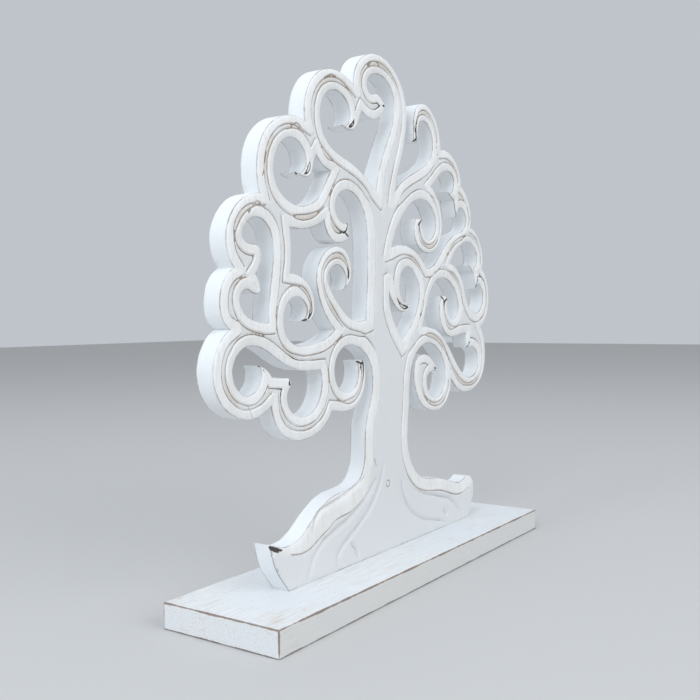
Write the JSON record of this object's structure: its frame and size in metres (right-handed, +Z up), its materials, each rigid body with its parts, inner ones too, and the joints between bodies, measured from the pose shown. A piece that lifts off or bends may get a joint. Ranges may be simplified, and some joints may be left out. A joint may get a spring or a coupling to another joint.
{
  "type": "tree of life ornament",
  "caption": "Free-standing whitewashed wood tree of life: a fret-sawn, carved scrollwork tree board standing on a long plinth board.",
  "frame": {"origin": "middle of the plinth's underside, on the surface the ornament stands on", "axes": "+X along the plinth, toward the carved tree's right-hand side as seen from its front; -Y out of the carved front; +Z up"},
  "size_m": [0.4086, 0.1, 0.4168],
  "materials": {
    "panel_paint": "matt whitewash over carved wood, rubbed brown at the grooves and arrises",
    "base_paint": "matt whitewash over a planed board, rubbed brown at the edges",
    "screw_steel": "zinc plated"
  },
  "bodies": {
    "root": {"tree_panel": "panel_paint", "base_board": "base_paint", "base_screws": "screw_steel"}
  },
  "joints": []
}
